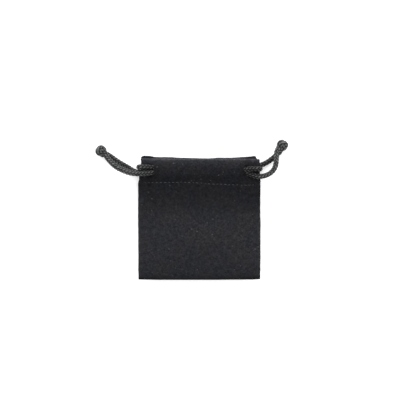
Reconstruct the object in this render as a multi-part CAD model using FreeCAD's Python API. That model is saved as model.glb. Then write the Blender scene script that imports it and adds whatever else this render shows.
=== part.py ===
import FreeCAD, Part
import math
import os

# Small square drawstring pouch for game dice, lying flat on its back. Millimetres.
# +X runs to the right seen from above, +Y from the bottom seam to the mouth, and +Z up out of
# the front face. Origin: centre of the flat rest area under the back panel.

Vector = FreeCAD.Vector
LEFT, RIGHT = -1, 1
os.makedirs("parts", exist_ok=True)

# ---------------------------------------------------------------- shared dimensions
HALF_W = 37.9           # half width of the pouch over its side seams
Y_BOTTOM = -38.0        # outer edge of the bottom seam
Y_PANEL_TOP = 20.7      # upper end of the panels, just under the casings
Y_CASING = 21.0         # lower edge of the casings
Z_MID = 7.1             # middle plane of the mouth
CLOTH = 1.0             # cloth with its pile, one layer
PLY = 0.65              # cloth pressed flat in a hem
THREAD_R = 0.25         # sewing thread
THREAD_INSET = 0.6      # from an outer edge to its seam thread
ALLOWANCE_INSET = 1.1   # from an outer edge to its seam allowance
ALLOWANCE_W = 4.4       # width of the allowances along the sides


# ---------------------------------------------------------------- helpers
def smooth(t):
    """Ease from 0 to 1, held level outside that range."""
    t = min(max(t, 0.0), 1.0)
    return t * t * (3 - 2 * t)


def curve(table, x):
    """Monotone cubic through the (place, value) points of a table, level beyond its ends."""
    if x <= table[0][0]:
        return table[0][1]
    if x >= table[-1][0]:
        return table[-1][1]
    xs, values = zip(*table)
    last = len(table) - 1
    slopes = [(values[i + 1] - values[i]) / (xs[i + 1] - xs[i]) for i in range(last)]
    tangents = [slopes[0]] + [0.0] * (last - 1) + [slopes[-1]]
    for i in range(1, last):
        before, after = slopes[i - 1], slopes[i]
        if before * after > 0:
            tangents[i] = 2 * before * after / (before + after)
    i = next(i for i in range(last) if xs[i] <= x <= xs[i + 1])
    step = xs[i + 1] - xs[i]
    t = (x - xs[i]) / step
    return (
        (2 * t ** 3 - 3 * t ** 2 + 1) * values[i]
        + (t ** 3 - 2 * t ** 2 + t) * step * tangents[i]
        + (-2 * t ** 3 + 3 * t ** 2) * values[i + 1]
        + (t ** 3 - t ** 2) * step * tangents[i + 1]
    )


def span(start, end, count):
    """Evenly spaced values, both ends included."""
    return [start + (end - start) * i / (count - 1) for i in range(count)]


def mirror_z(z):
    """Height mirrored in the middle plane of the mouth, from front to back."""
    return 2 * Z_MID - z


def surface(grid):
    patch = Part.BSplineSurface()
    patch.interpolate([[Vector(p) for p in row] for row in grid])
    return patch


def borders(patch):
    u0, u1, v0, v1 = patch.bounds()
    lines = (patch.uIso(u0), patch.uIso(u1), patch.vIso(v0), patch.vIso(v1))
    return [line.toShape() for line in lines]


def sheet(low_grid, high_grid):
    """Closed solid between two grids of points that share their plan positions."""
    low, high = surface(low_grid), surface(high_grid)
    faces = [low.toShape(), high.toShape()]
    faces += [Part.makeRuledSurface(a, b) for a, b in zip(borders(low), borders(high))]
    shell = Part.Shell(faces)
    if not shell.isClosed():
        # join the faces where their borders only coincide
        shell = Part.makeShell(faces)
        shell.sewShape()
    solid = Part.Solid(shell)
    if solid.Volume < 0:
        solid.reverse()
    return solid


def layer(xs, ys, height, low, high):
    """Sheet between two offsets in Z from the surface height(x, y)."""
    grids = [[[(x, y, height(x, y) + offset) for y in ys] for x in xs] for offset in (low, high)]
    return sheet(*grids)


def spline(points):
    line = Part.BSplineCurve()
    line.interpolate([Vector(p) for p in points])
    return line.toShape()


def rod(points, radius):
    """Round rod along a smooth path."""
    edge = spline(points)
    path = Part.Wire([edge])
    tangent = edge.tangentAt(edge.FirstParameter)
    pipe = Part.BRepOffsetAPI.MakePipeShell(path)
    pipe.setFrenetMode(False)
    pipe.add(Part.Wire([Part.makeCircle(radius, Vector(points[0]), tangent)]))
    pipe.build()
    pipe.makeSolid()
    return pipe.shape()


def oval_rod(points, width, height):
    """Oval rod along a path that stays near one X-Z plane, its width along Y."""
    edge = spline(points)
    start = Vector(points[0])
    across = Vector(0, 1, 0)
    up = edge.tangentAt(edge.FirstParameter).cross(across)
    up.normalize()
    oval = Part.Ellipse(start + across * (width / 2), start + up * (height / 2), start)
    pipe = Part.BRepOffsetAPI.MakePipeShell(Part.Wire([edge]))
    pipe.setBiNormalMode(across)
    pipe.add(Part.Wire([oval.toShape()]))
    pipe.build()
    pipe.makeSolid()
    return pipe.shape()


def write(name, *shapes):
    solids = [solid for shape in shapes for solid in shape.Solids]
    result = solids[0] if len(solids) == 1 else Part.makeCompound(solids)
    result.exportStep("parts/" + name + ".step")


# ---------------------------------------------------------------- panels and hems
# (y, z) of the outer faces along the centre line
FRONT_CROWN = [
    (-38, 7.15), (-36, 9.0), (-33, 11.0), (-28, 13.3), (-20, 15.6), (-10, 16.8), (-4, 17.0),
    (4, 16.6), (10, 15.5), (15, 13.8), (18, 12.6), (21.6, 11.6),
]
BACK_CROWN = [
    (-38, 3.65), (-35, 1.7), (-32, 0.6), (-28, -0.1), (-24, -0.25), (10, -0.25), (14, 0.1),
    (18, 1.2), (21.6, 2.6),
]
FRONT_FULLNESS = 2.4    # exponents of the fall to the side edges: higher stays flat further out
BACK_FULLNESS = 5
Z_SEAM_BOTTOM = 5.4     # height of the seam at the bottom edge
SEAM_RISE_LENGTH = 58.0  # length in Y over which the seam rises to the middle plane
EDGE_GAP = 0.75         # half of the space the seam allowance takes at an edge
HEM_GAP = 0.14          # air between a panel and its hem

PANEL_XS = span(-HALF_W, HALF_W, 33)
PANEL_YS = span(Y_BOTTOM, Y_PANEL_TOP, 25)
HEM_XS = span(-35.2, 35.2, 37)
HEM_YS = span(15.3, 20.5, 9)


def seam_z(x, y):
    """Height of the seam plane, the same at every x."""
    return Z_SEAM_BOTTOM + (Z_MID - Z_SEAM_BOTTOM) * smooth((y - Y_BOTTOM) / SEAM_RISE_LENGTH)


def bulge(x, y, edge, crown, fullness):
    """Height between the side edge and the crown."""
    return edge + (curve(crown, y) - edge) * (1 - min(abs(x) / HALF_W, 1) ** fullness)


def front_outer(x, y):
    return bulge(x, y, seam_z(x, y) + EDGE_GAP + CLOTH, FRONT_CROWN, FRONT_FULLNESS)


def back_outer(x, y):
    return bulge(x, y, seam_z(x, y) - EDGE_GAP - CLOTH, BACK_CROWN, BACK_FULLNESS)


def front_panel():
    return layer(PANEL_XS, PANEL_YS, front_outer, -CLOTH, 0)


def back_panel():
    """Back panel, cut off at z = 0 so that it bears on one flat area."""
    panel = layer(PANEL_XS, PANEL_YS, back_outer, 0, CLOTH)
    return panel.cut(Part.makeBox(100, 100, 5, Vector(-50, -50, -5)))


def front_hem():
    """Hem turned to the inside below the front casing."""
    near = CLOTH + HEM_GAP
    return layer(HEM_XS, HEM_YS, front_outer, -near - PLY, -near)


def back_hem():
    """Hem turned to the inside below the back casing."""
    near = CLOTH + HEM_GAP
    return layer(HEM_XS, HEM_YS, back_outer, near, near + PLY)


# ---------------------------------------------------------------- seams of the panels
ALLOWANCE_HALF = 0.6    # half thickness of the seam allowances
BOTTOM_ALLOWANCE_W = 3.6
SIDE_ALLOWANCE_Y = (-32.8, 14.6)
SIDE_THREAD_Y = (-36.6, 20.3)
BOTTOM_THREAD_HALF = 36.6   # half length


def side_allowance(side):
    outer = HALF_W - ALLOWANCE_INSET
    xs = span(side * (outer - ALLOWANCE_W), side * outer, 4)
    return layer(xs, span(*SIDE_ALLOWANCE_Y, 13), seam_z, -ALLOWANCE_HALF, ALLOWANCE_HALF)


def bottom_allowance():
    outer = HALF_W - ALLOWANCE_INSET
    low = Y_BOTTOM + ALLOWANCE_INSET
    ys = span(low, low + BOTTOM_ALLOWANCE_W, 4)
    return layer(span(-outer, outer, 9), ys, seam_z, -ALLOWANCE_HALF, ALLOWANCE_HALF)


def side_thread(side):
    x = side * (HALF_W - THREAD_INSET)
    return rod([(x, y, seam_z(x, y)) for y in span(*SIDE_THREAD_Y, 12)], THREAD_R)


def bottom_thread():
    y = Y_BOTTOM + THREAD_INSET
    start = Vector(-BOTTOM_THREAD_HALF, y, seam_z(0, y))
    return Part.makeCylinder(THREAD_R, 2 * BOTTOM_THREAD_HALF, start, Vector(1, 0, 0))


# ---------------------------------------------------------------- cord casings
X_CASING = 28.0         # half length of a casing between the left and right slits
Y_FRONT_TOP = 37.8      # folded top edge of the front casing
Y_BACK_TOP = 38.6       # folded top edge of the back casing
Z_FOLD = 10.4           # height of the front casing's folded edge
TUNNEL_Y = (23.2, 36.2)
# the back casing is stretched in Y from STRETCH_START on, fully after STRETCH_LENGTH
STRETCH_START, STRETCH_LENGTH = 33, 4.0

# (y, z) section of the front casing: face away from the mouth's middle plane, face towards it
CASING_OUTER = [
    (Y_CASING, 11.75), (22.6, 11.9), (24.5, 12.6), (26.4, 13.7), (28.2, 14.15), (30.3, 14.2),
    (32.4, 14.15), (34.2, 13.75), (35.6, 12.7), (36.8, 11.6),
]
CASING_INNER = [
    (Y_CASING, 10.35), (22.6, 9.9), (24.5, 9.0), (26.0, 8.45), (28.0, 8.3), (30.3, 8.3),
    (33.0, 8.3), (35.0, 8.5), (36.8, 9.2),
]


def casing(top, back):
    """One tunnel for the cords, open at both slits. The back one is mirrored in the mouth."""
    def place(point):
        y, z = point
        y += (top - Y_FRONT_TOP) * smooth((y - STRETCH_START) / STRETCH_LENGTH)
        return Vector(-X_CASING, y, mirror_z(z) if back else z)

    def section_curve(points):
        return spline([place(p) for p in points])

    def section_line(start, end):
        return Part.makeLine(place(start), place(end))

    fold_points = (CASING_OUTER[-1], (Y_FRONT_TOP, Z_FOLD), CASING_INNER[-1])
    skin = Part.Wire([
        section_curve(CASING_OUTER),
        Part.Arc(*[place(p) for p in fold_points]).toShape(),
        section_curve(CASING_INNER[::-1]),
        section_line(CASING_INNER[0], CASING_OUTER[0]),
    ])
    ys = span(*TUNNEL_Y, 14)
    roof = [(y, curve(CASING_OUTER, y) - PLY) for y in ys]
    floor = [(y, curve(CASING_INNER, y) + PLY) for y in ys]
    hole = Part.Wire([
        section_curve(roof),
        section_line(roof[-1], floor[-1]),
        section_curve(floor[::-1]),
        section_line(floor[0], roof[0]),
    ])
    solid = Part.Face(skin).extrude(Vector(2 * X_CASING, 0, 0))
    tunnel = Part.Face(hole).extrude(Vector(2 * X_CASING + 2, 0, 0))
    tunnel.translate(Vector(-1, 0, 0))
    return solid.cut(tunnel)


# ---------------------------------------------------------------- casing ends beyond the slits
X_END = 28.5            # inner edge of the ends
Y_END = Y_CASING + 0.2  # lower edge of the ends
Y_FRONT_END_TOP = 38.1
Y_BACK_END_TOP = 39.1
END_SEAM_Y = (21.4, 37.6)   # extent of the allowance and the thread
END_HALF = 1.8          # half thickness over both layers
END_GAP = 0.65          # from the middle plane to a layer
END_ALLOWANCE_HALF = 0.58   # half thickness of the allowance between the layers
END_INSET = 0.15        # from the panels' side edge to the edge of the ends
END_NOTCH = 2.1         # how far the cord loops draw the side edge in


def edge_x(y):
    """Side edge of a casing end, drawn in by the cord loops."""
    drawn = smooth((y - 24.5) / 3.0) * (1 - smooth((y - 34.6) / 2.8))
    return HALF_W - END_INSET - END_NOTCH * drawn


def end_sheet(side, y_range, z_low, z_high, inner_x, outer_x):
    """Flat sheet between two side edges, given as functions of y."""
    def grid(z):
        return [
            [(side * (inner_x(y) + (outer_x(y) - inner_x(y)) * i / 5), y, z)
             for y in span(*y_range, 21)]
            for i in range(6)
        ]

    return sheet(grid(z_low), grid(z_high))


def end_layer(side, top, z_low, z_high):
    return end_sheet(side, (Y_END, top), z_low, z_high, lambda y: X_END, edge_x)


def front_end(side):
    return end_layer(side, Y_FRONT_END_TOP, Z_MID + END_GAP, Z_MID + END_HALF)


def back_end(side):
    return end_layer(side, Y_BACK_END_TOP, Z_MID - END_HALF, Z_MID - END_GAP)


def end_allowance(side):
    return end_sheet(
        side, END_SEAM_Y, Z_MID - END_ALLOWANCE_HALF, Z_MID + END_ALLOWANCE_HALF,
        lambda y: edge_x(y) - ALLOWANCE_INSET - ALLOWANCE_W,
        lambda y: edge_x(y) - ALLOWANCE_INSET,
    )


def end_thread(side):
    ys = span(*END_SEAM_Y, 15)
    return rod([(side * (edge_x(y) - THREAD_INSET), y, Z_MID) for y in ys], THREAD_R)


# ---------------------------------------------------------------- stitches
STITCH = 1.75           # length of one stitch
PITCH = 2.5
STITCH_Y = 22.15        # casing seam at x = 0
STITCH_SKEW = 0.65 / 36.0   # the casing seam runs a little off square
CASING_STITCH_LIFT = 0.12   # air under the stitches
END_STITCH_LIFT = 0.05
END_STITCH_START = 1.6  # from the inner edge of an end to its first stitch
END_STITCH_COUNT = 3


def stitch_y(x):
    return STITCH_Y - STITCH_SKEW * x


def stitch(x, z):
    """One round-ended stitch lying on the cloth along X."""
    half = STITCH / 2 - THREAD_R
    start, end = (Vector(x + dx, stitch_y(x), z) for dx in (-half, half))
    bar = Part.makeCylinder(THREAD_R, 2 * half, start, Vector(1, 0, 0))
    caps = [Part.makeSphere(THREAD_R, centre) for centre in (start, end)]
    return bar.fuse(caps).removeSplitter()


def casing_stitches(back):
    stitches = []
    count = int((X_CASING - 1.0) / PITCH)   # on each side of the middle one
    for i in range(-count, count + 1):
        x = i * PITCH
        z = curve(CASING_OUTER, stitch_y(x)) + THREAD_R + CASING_STITCH_LIFT
        stitches.append(stitch(x, mirror_z(z) if back else z))
    return stitches


def end_stitches(side):
    """Stitches on the front and back faces of a casing end."""
    z = Z_MID + END_HALF + THREAD_R + END_STITCH_LIFT
    xs = [side * (X_END + END_STITCH_START + i * PITCH) for i in range(END_STITCH_COUNT)]
    return [stitch(x, level) for x in xs for level in (z, mirror_z(z))]


# ---------------------------------------------------------------- cords inside the casings
CORD_W = 3.0            # width of a cord
CORD_H = 2.2            # height of a cord pressed flat inside a casing
CORD_LEVEL = 2.25       # height step between two cords that cross
CORD_GAP = 0.075        # air between a cord and the casing wall
MOUTH_GAP = 2.4         # space between the front and back casings
TURN_R = 2.4            # bend of the cord where it rounds the side edge
LOOP_X = 37.9           # centre line of the cord where it rounds the side edge
TURN_STEPS = 8          # divisions of each quarter bend
DROP_STEPS = 4          # divisions of the straight between the bends

# cord heights: inner ones lie nearer the middle plane
Z_FRONT_INNER = Z_MID + MOUTH_GAP / 2 + PLY + CORD_GAP + CORD_H / 2
Z_FRONT_OUTER = Z_FRONT_INNER + CORD_LEVEL
Z_BACK_INNER = mirror_z(Z_FRONT_INNER)
Z_BACK_OUTER = mirror_z(Z_FRONT_OUTER)

# the runs meet the free tails at a round cut about these points
LEFT_PIVOT = Vector(-41.5, 29.0, 0)
RIGHT_PIVOT = Vector(41.5, 30.5, 0)
LEFT_CUT_R, RIGHT_CUT_R = 3.0, 5.0

# (x, y) of the cord centre lines in each casing
LEFT_FRONT_Y = [(-46, 28.9), (4, 28.9), (9, 29.15), (21, 30.75), (26, 31.0), (40, 31.0)]
LEFT_BACK_Y = [(-46, 29.2), (4, 29.2), (9, 29.4), (21, 30.8), (26, 31.0), (40, 31.0)]
RIGHT_FRONT_Y = [(-40, 32.45), (-26, 32.45), (-21, 32.0), (-9, 28.3), (-4, 27.85), (48, 27.85)]
RIGHT_BACK_Y = [(-40, 32.3), (-20, 32.3), (20, 32.3), (29, 32.4), (39, 33.0), (48, 33.2)]


def cord_run(side, z_front, z_back, front_y, back_y, open_x):
    """Cord through both casings, looping at the given side, its open ends at open_x."""
    turn_x = side * (LOOP_X - TURN_R)
    xs = span(open_x, turn_x, 27)
    front = [(x, curve(front_y, x), z_front) for x in xs]
    back = [(x, curve(back_y, x), z_back) for x in reversed(xs)]

    z_top, z_low = z_front - TURN_R, z_back + TURN_R
    drop = z_top - z_low
    quarter = math.pi / 2 * TURN_R

    def bend(angle, z_centre):
        return turn_x + side * TURN_R * math.cos(angle), z_centre + TURN_R * math.sin(angle)

    loop = []   # x, z and distance travelled round the loop
    for i in range(1, TURN_STEPS):
        angle = math.pi / 2 * (1 - i / TURN_STEPS)
        loop.append((*bend(angle, z_top), quarter - angle * TURN_R))
    for i in range(DROP_STEPS + 1):
        fallen = drop * i / DROP_STEPS
        loop.append((*bend(0, z_top - fallen), quarter + fallen))
    for i in range(1, TURN_STEPS):
        angle = -math.pi / 2 * i / TURN_STEPS
        loop.append((*bend(angle, z_low), quarter + drop - angle * TURN_R))

    y_start, y_end = front[-1][1], back[0][1]
    length = 2 * quarter + drop
    turn = [(x, y_start + (y_end - y_start) * smooth(d / length), z) for x, z, d in loop]
    return oval_rod(front + turn + back, CORD_W, CORD_H)


def trim_ends(run, pivot, radius):
    """End a run in a round cut about the pivot."""
    box_x = -60 if pivot.x > 0 else pivot.x
    keep = Part.makeBox(abs(pivot.x) + 60, 60, 40, Vector(box_x, 0, -10))
    keep = keep.fuse(Part.makeCylinder(radius, 40, pivot + Vector(0, 0, -10)))
    return run.common(keep)


def left_cord():
    """Cord that leaves at the left and loops round the right side."""
    run = cord_run(RIGHT, Z_FRONT_OUTER, Z_BACK_INNER, LEFT_FRONT_Y, LEFT_BACK_Y, -46.0)
    return trim_ends(run, LEFT_PIVOT, LEFT_CUT_R)


def right_cord():
    """Cord that leaves at the right and loops round the left side."""
    run = cord_run(LEFT, Z_FRONT_INNER, Z_BACK_OUTER, RIGHT_FRONT_Y, RIGHT_BACK_Y, 48.0)
    return trim_ends(run, RIGHT_PIVOT, RIGHT_CUT_R)


# ---------------------------------------------------------------- knots and free tails
TAIL_R = 1.45           # free cord
TAIL_GAP = 0.1          # between a run's round cut and its tails
KNOT_CLEAR_R = 3.95     # ball cut from the tails round a knot
LEFT_KNOT = Vector(-61.9, 42.8, 3.95)
RIGHT_KNOT = Vector(52.2, 45.9, 3.95)

# (distance along the knot, radius)
KNOT_PROFILE = [
    (-3.9, 0.0), (-3.45, 1.7), (-2.6, 2.9), (-1.5, 3.5), (-0.3, 3.05), (0.9, 3.6), (2.2, 3.3),
    (3.3, 2.1), (3.9, 0.0),
]

# (x, y, z) of the tail centre lines, from the casing to the knot: front tail, back tail
LEFT_TAILS = [
    [(-40.5, 28.9, 12.37), (-44.6, 29.2, 12.0), (-48.4, 30.7, 10.8), (-53.5, 33.8, 8.2),
     (-57.6, 38.0, 6.3), (-60.4, 41.2, 5.7)],
    [(-40.5, 29.2, 4.07), (-44.6, 31.3, 3.5), (-48.5, 34.4, 2.5), (-53.2, 37.4, 1.9),
     (-57.3, 39.9, 1.9), (-60.4, 41.6, 2.2)],
]
RIGHT_TAILS = [
    [(40.5, 27.85, 10.12), (44.6, 28.1, 10.0), (47.2, 30.4, 9.5), (48.4, 34.4, 8.3),
     (48.6, 38.6, 7.0), (49.4, 42.0, 6.0), (51.2, 44.6, 5.7)],
    [(40.5, 33.1, 1.83), (44.2, 35.2, 1.8), (47.2, 38.1, 1.75), (49.6, 41.4, 1.9),
     (51.2, 44.2, 2.2)],
]


def knot(centre, direction):
    """Knot with two swells, turned about a level axis."""
    direction.normalize()
    up = Vector(0, 0, 1)
    half = spline([centre + direction * along + up * r for along, r in KNOT_PROFILE])
    start, end = (centre + direction * KNOT_PROFILE[i][0] for i in (0, -1))
    face = Part.Face(Part.Wire([half, Part.makeLine(end, start)]))
    return face.revolve(centre, direction, 360)


def tails(paths, pivot, cut_r, knot_centre):
    """Free cords between the round cut of a run and its knot."""
    near_casing = Part.makeCylinder(cut_r + TAIL_GAP, 60, pivot + Vector(0, 0, -20))
    near_knot = Part.makeSphere(KNOT_CLEAR_R, knot_centre)
    cords = []
    for points in paths:
        cord = rod(points, TAIL_R).cut(near_casing).cut(near_knot)
        # the cuts may leave scraps at the ends
        cords.append(max(cord.Solids, key=lambda solid: solid.Volume))
    return cords


# ---------------------------------------------------------------- files
write("front_panel", front_panel())
write("back_panel", back_panel())
write("front_hem", front_hem())
write("back_hem", back_hem())
write("bottom_seam_allowance", bottom_allowance())
write("bottom_seam_thread", bottom_thread())
write("front_casing", casing(Y_FRONT_TOP, back=False))
write("back_casing", casing(Y_BACK_TOP, back=True))
write("front_casing_stitches", *casing_stitches(back=False))
write("back_casing_stitches", *casing_stitches(back=True))
for name, side in (("left", LEFT), ("right", RIGHT)):
    write(name + "_seam_allowance", side_allowance(side))
    write(name + "_seam_thread", side_thread(side))
    write(name + "_front_end", front_end(side))
    write(name + "_back_end", back_end(side))
    write(name + "_end_allowance", end_allowance(side))
    write(name + "_end_thread", end_thread(side))
    write(name + "_end_stitches", *end_stitches(side))
write("left_cord", left_cord())
write("right_cord", right_cord())
write("left_cord_tails", *tails(LEFT_TAILS, LEFT_PIVOT, LEFT_CUT_R, LEFT_KNOT))
write("right_cord_tails", *tails(RIGHT_TAILS, RIGHT_PIVOT, RIGHT_CUT_R, RIGHT_KNOT))
write("left_knot", knot(LEFT_KNOT, Vector(-0.66, 0.75, 0)))
write("right_knot", knot(RIGHT_KNOT, Vector(0.55, 0.83, 0)))
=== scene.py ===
# A flat velvet drawstring pouch with two braided cords, lying on a table.
# X runs across the pouch (left is -X), Y from the bottom seam (-Y) to the mouth (+Y), and Z up
# from the table at 0. The front cloth faces +Z and the back cloth rests on the table. Each cord
# runs round inside the casing under the folded mouth edge and ends in a knot beyond one side.
# Shapes are worked out in millimetres; objects are made in metres.

import math
from dataclasses import dataclass
from functools import lru_cache

import bpy
import numpy as np
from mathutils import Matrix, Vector


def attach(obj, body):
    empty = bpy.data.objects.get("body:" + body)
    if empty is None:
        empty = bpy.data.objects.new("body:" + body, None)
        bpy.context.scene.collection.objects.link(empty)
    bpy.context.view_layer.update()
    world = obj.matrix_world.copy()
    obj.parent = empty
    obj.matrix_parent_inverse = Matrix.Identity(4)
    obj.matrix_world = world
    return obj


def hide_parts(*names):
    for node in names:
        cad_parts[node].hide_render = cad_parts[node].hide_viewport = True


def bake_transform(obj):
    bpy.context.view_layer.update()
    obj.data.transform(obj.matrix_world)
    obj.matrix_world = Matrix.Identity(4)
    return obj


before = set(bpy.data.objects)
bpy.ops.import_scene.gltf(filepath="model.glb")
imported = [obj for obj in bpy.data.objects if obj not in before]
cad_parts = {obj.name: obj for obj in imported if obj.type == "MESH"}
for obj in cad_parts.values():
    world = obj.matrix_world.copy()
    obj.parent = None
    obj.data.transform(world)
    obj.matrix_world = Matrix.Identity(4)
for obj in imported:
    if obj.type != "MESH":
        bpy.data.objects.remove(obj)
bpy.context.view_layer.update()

MM = 0.001
SIDE = {-1: "left", 1: "right"}

# ------------------------------------------------------------------ helpers


def smooth(t):
    """Eased step from 0 at t = 0 to 1 at t = 1."""
    t = np.clip(t, 0.0, 1.0)
    return t * t * (3 - 2 * t)


def rise(value, start, span):
    """Eased step that begins at start and is complete span further on."""
    return smooth((value - start) / span)


def bell(value, centre, width):
    return np.exp(-(((value - centre) / width) ** 2))


def curve(table, at):
    """Monotone cubic through a table's (position, value) points, for arrays."""
    at = np.asarray(at, float)
    xs, ys = np.array(table, float).T
    slope = np.diff(ys) / np.diff(xs)
    tangent = np.zeros(len(xs))
    tangent[0], tangent[-1] = slope[0], slope[-1]
    for i in range(1, len(xs) - 1):
        if slope[i - 1] * slope[i] > 0:
            tangent[i] = 2 * slope[i - 1] * slope[i] / (slope[i - 1] + slope[i])
    k = np.clip(np.searchsorted(xs, at) - 1, 0, len(xs) - 2)
    span = xs[k + 1] - xs[k]
    t = np.clip((at - xs[k]) / span, 0, 1)
    return (
        (2 * t**3 - 3 * t**2 + 1) * ys[k]
        + (t**3 - 2 * t**2 + t) * span * tangent[k]
        + (-2 * t**3 + 3 * t**2) * ys[k + 1]
        + (t**3 - t**2) * span * tangent[k + 1]
    )


@lru_cache(maxsize=None)
def lattice(seed):
    """Square table of random values in -1..1."""
    return np.random.RandomState(seed).rand(64, 64) * 2 - 1


def noise2(x, y, scale, seed):
    """Smooth noise in -1..1 with features about scale across."""
    grid = lattice(seed)
    n = grid.shape[0]
    # the shift keeps the lattice lines away from the origin
    px, py = x / scale + 1000.37, y / scale + 1000.71
    ix, iy = np.floor(px).astype(int), np.floor(py).astype(int)
    fx, fy = px - ix, py - iy
    fx = fx**3 * (fx * (6 * fx - 15) + 10)
    fy = fy**3 * (fy * (6 * fy - 15) + 10)
    low = grid[ix % n, iy % n] * (1 - fx) + grid[(ix + 1) % n, iy % n] * fx
    high = grid[ix % n, (iy + 1) % n] * (1 - fx) + grid[(ix + 1) % n, (iy + 1) % n] * fx
    return low * (1 - fy) + high * fy


def noise1(along, row, scale, seed):
    """Noise along a line: one row of the plane noise."""
    return noise2(along, along * 0 + row, scale, seed)


def make_object(name, verts, faces, material, uv, sharp=None, tone=None):
    """Smooth-shaded mesh object from millimetres. uv has one row per vertex or per corner."""
    mesh = bpy.data.meshes.new(name)
    mesh.from_pydata((np.asarray(verts) * MM).tolist(), [], faces)
    mesh.update()
    mesh.shade_smooth()
    uv = np.asarray(uv, np.float32)
    if len(uv) == len(verts):
        corners = np.zeros(len(mesh.loops), np.int32)
        mesh.loops.foreach_get("vertex_index", corners)
        uv = uv[corners]
    mesh.uv_layers.new(name="UVMap").data.foreach_set("uv", uv.ravel())
    if sharp:
        keys = {tuple(sorted(edge)) for edge in sharp}
        flags = [tuple(sorted(edge.vertices)) in keys for edge in mesh.edges]
        layer = mesh.attributes.get("sharp_edge") or mesh.attributes.new(
            "sharp_edge", "BOOLEAN", "EDGE")
        layer.data.foreach_set("value", flags)
    if tone is not None:
        layer = mesh.attributes.new("tone", "FLOAT", "POINT")
        layer.data.foreach_set("value", np.asarray(tone, np.float32))
    ob = bpy.data.objects.new(name, mesh)
    bpy.context.scene.collection.objects.link(ob)
    mesh.materials.append(material)
    return ob


def grid_quads(ids):
    """Quads between neighbouring entries of a grid of vertex numbers."""
    corners = (ids[:-1, :-1], ids[1:, :-1], ids[1:, 1:], ids[:-1, 1:])
    return np.stack(corners, -1).reshape(-1, 4)


def shell(right, wrong, faces, uv):
    """Closed cloth from its right side, its wrong side and the faces of the right side."""
    n = len(right)
    uses = {}
    for face in faces:
        for a, b in zip(face, face[1:] + face[:1]):
            uses.setdefault((min(a, b), max(a, b)), []).append((a, b))
    walls, sharp = [], []
    for directed in uses.values():
        if len(directed) == 1:
            a, b = directed[0]
            walls.append((b, a, a + n, b + n))
            sharp += [(a, b), (a + n, b + n)]
    back = [tuple(i + n for i in reversed(face)) for face in faces]
    return np.vstack([right, wrong]), faces + back + walls, np.vstack([uv, uv]), sharp


# ------------------------------------------------------------------ outline of the pouch
HALF_W = 37.9           # nominal half width
EDGE_X = 38.42          # half width of the cloth before its bulges and waists
Y_BOTTOM = -38.5
Z_MID = 7.1             # height of the middle plane at the mouth
Z_SEAM_LOW = 5.4        # height of the side seams at the bottom
SEAM_RISE = 1.75        # the cloth stands this far off the side seam plane at its edge
PLY = 0.6               # thickness of one cloth
UV_MM = 100.0           # millimetres in one UV unit
BACK_UV_SHIFT = 211.0   # the back cloth reads another stretch of the pattern

# the slit at each side where the cords come out: its inner edge, and its lowest and highest y
SLIT_X = {-1: 28.5, 1: 28.6}
SLIT = {-1: (26.4, 34.3), 1: (27.1, 33.5)}

# (y, z) of each face along its middle
FRONT_CROWN = [
    (-38, 7.15), (-36, 9.2), (-33, 11.2), (-28, 13.4), (-20, 15.4), (-10, 16.6), (-4, 16.8),
    (4, 16.4), (10, 15.4), (15, 13.9), (18, 12.8), (21.6, 11.8),
]
BACK_CROWN = [
    (-38, 3.65), (-35, 1.7), (-32, 0.6), (-28, -0.1), (-24, -0.25), (10, -0.25), (14, 0.1),
    (18, 1.2), (21.6, 2.6),
]
# (y, z) of the front of the casing, mirrored in Z_MID for the back
CASING = [
    (19.0, 12.3), (21.0, 11.75), (22.6, 11.9), (24.5, 12.6), (26.4, 13.7), (28.2, 14.15),
    (30.3, 14.2), (32.4, 14.1), (34.2, 13.3), (35.6, 12.2), (36.8, 11.5), (38.0, 11.3),
]
# (y, distance from Z_MID) of the inner ply of the hem
HEM_GAP = [
    (15.0, 3.2), (21.0, 3.25), (22.6, 2.8), (24.5, 1.9), (26.0, 1.35), (28.0, 1.2), (33.0, 1.2),
    (35.0, 1.4), (36.8, 2.1), (38.0, 2.3),
]
# (x, y) of the folded mouth edge
FRONT_TOP = [
    (-38.0, 38.0), (-30, 37.8), (-20, 37.65), (0, 37.55), (14, 37.6), (28, 37.6), (38, 37.45),
]
BACK_TOP = [
    (-38, 38.6), (-35.9, 39.15), (-34.6, 39.62), (-33, 39.62), (-30.6, 39.42), (-28.4, 39.05),
    (-25.6, 38.85), (-22, 38.9), (-18.1, 38.8), (-13.0, 38.5), (-8.0, 38.38), (-3, 38.2),
    (-0.5, 38.1), (4.6, 38.1), (7.1, 38.12), (12.1, 38.42), (19.6, 38.4), (24.6, 38.7),
    (29.7, 38.95), (32.2, 39.2), (34.6, 39.5), (35.5, 39.35), (36.3, 37.7), (38.5, 37.2),
]
# (y, brightness along the cloth's height): painted shade at the bottom roll and in a band across the
# upper body and lower casing, a painted highlight on the folded mouth edge
PAINTED_LIGHT_BY_Y = [
    (-38.6, 0.25), (-37.8, 0.38), (-36.8, 0.72), (-34, 0.93), (-28, 1.0), (-14, 1.02),
    (-6, 1.02), (0, 0.96), (4, 0.84), (8, 0.70), (12, 0.62), (15, 0.58), (19, 0.56), (24, 0.58),
    (27, 0.62), (30, 0.68), (33, 0.78), (35.3, 0.94), (36.3, 1.25), (37.1, 2.3), (37.7, 2.3),
    (38.2, 1.3), (40, 1.3),
]
# (x, shift in y) of the bottom seam
BOTTOM_SAG = [
    (-38.6, 0.05), (-35, 0.0), (-30, -0.06), (-26, -0.15), (8, -0.15), (18, -0.07), (28, 0.0),
    (34, 0.08), (38.6, 0.32),
]
# (x, y) of the casing stitch line
CASING_SEAM = [
    (-40, 22.4), (-34.7, 22.45), (-26, 22.65), (-16.6, 22.75), (-11.5, 22.85), (-3, 22.55),
    (3.2, 22.05), (14.3, 21.45), (25, 21.15), (35, 20.95), (40, 20.9),
]


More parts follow.
